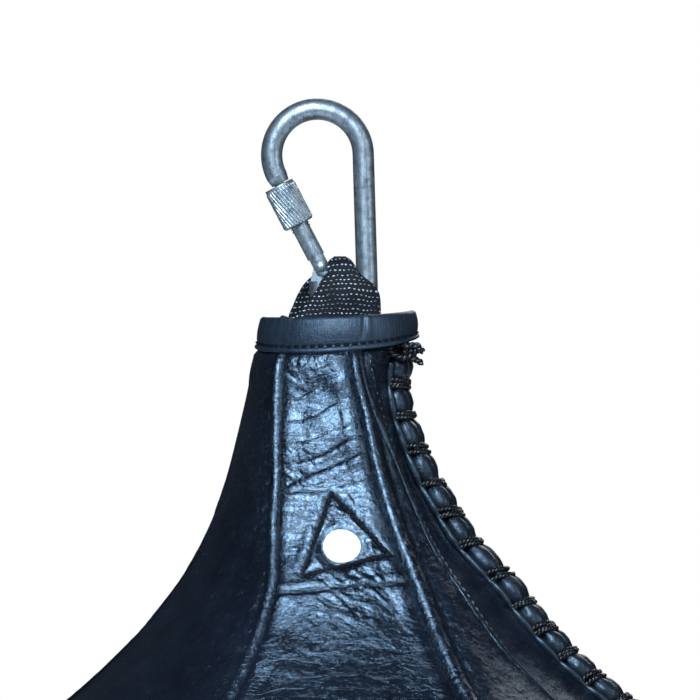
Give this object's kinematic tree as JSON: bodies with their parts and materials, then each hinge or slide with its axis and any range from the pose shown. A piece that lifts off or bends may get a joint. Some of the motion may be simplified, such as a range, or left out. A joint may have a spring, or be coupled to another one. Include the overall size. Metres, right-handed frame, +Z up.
{
  "type": "uppercut bag",
  "caption": "Stuffed leather teardrop punching bag with a laced seam, hung by black webbing from a screw-sleeve carabiner.",
  "frame": {"origin": "hang point: the inner top of the carabiner's large bow, where a hook or chain link bears", "axes": "+Z up along the hanging bag, +X towards the carabiner's spine and the laced seam, -Y front"},
  "size_m": [0.4, 0.4, 0.6305],
  "materials": {
    "zinc_steel": "bright zinc plate, lightly worn",
    "gate_steel": "bright zinc plate",
    "sleeve_steel": "knurled, bright zinc plate",
    "spring_steel": "plain wire",
    "webbing": "woven polyester with a ribbed face",
    "cap_rivet": "smooth white enamel",
    "collar_leather": "semi-gloss grain, folded edge",
    "shell_leather": "semi-gloss wrinkled grain",
    "lip_leather": "semi-gloss, stretched smooth",
    "lining_cloth": "plain weave",
    "core_cord": "twisted cotton",
    "lace_cord": "waxed, twisted, glossy",
    "filling": "packed textile scraps"
  },
  "bodies": {
    "carabiner": {"carabiner_body": "zinc_steel", "gate_rivet": "gate_steel"},
    "gate": {"gate_bar": "gate_steel", "latch_pin": "gate_steel", "gate_spring": "spring_steel", "spring_plunger": "spring_steel"},
    "sleeve": {"lock_sleeve": "sleeve_steel"},
    "bag": {"webbing_loop": "webbing", "strap_front": "webbing", "strap_back": "webbing", "anchor_cap_front": "cap_rivet", "anchor_cap_back": "cap_rivet", "anchor_washer_front": "spring_steel", "anchor_washer_back": "spring_steel", "collar_band": "collar_leather", "collar_lining": "lining_cloth", "lining": "lining_cloth", "facing_front": "shell_leather", "facing_back": "shell_leather", "lip_front": "lip_leather", "lip_back": "lip_leather", "lip_core_front": "core_cord", "lip_core_back": "core_cord", "lace": "lace_cord", "lace_knot": "lace_cord", "base_patch": "collar_leather", "filling": "filling", "gore_1": "shell_leather", "gore_2": "shell_leather", "gore_3": "shell_leather", "gore_4": "shell_leather", "gore_5": "shell_leather", "gore_6": "shell_leather"}
  },
  "joints": [
    {"name": "gate_pivot", "type": "hinge", "parent": "carabiner", "child": "gate", "pos_m": [0.0017, 0, -0.0649], "axis": [0, 1, 0], "range_deg": [0, 20], "stiffness_Nm_per_rad": 0.06, "springref_deg": -22.92},
    {"name": "sleeve_slide", "type": "slide", "parent": "gate", "child": "sleeve", "axis": [0.4633, 0, -0.8862], "range_m": [0, 0.0132]},
    {"name": "bag_swing", "type": "hinge", "parent": "carabiner", "child": "bag", "pos_m": [0.0115, 0, -0.0848], "axis": [1, 0, 0], "range_deg": [-25, 25]}
  ],
  "couplings": [
    {"joint": "sleeve_slide", "follows": "gate_pivot", "m_per_rad": 0.037242}
  ]
}
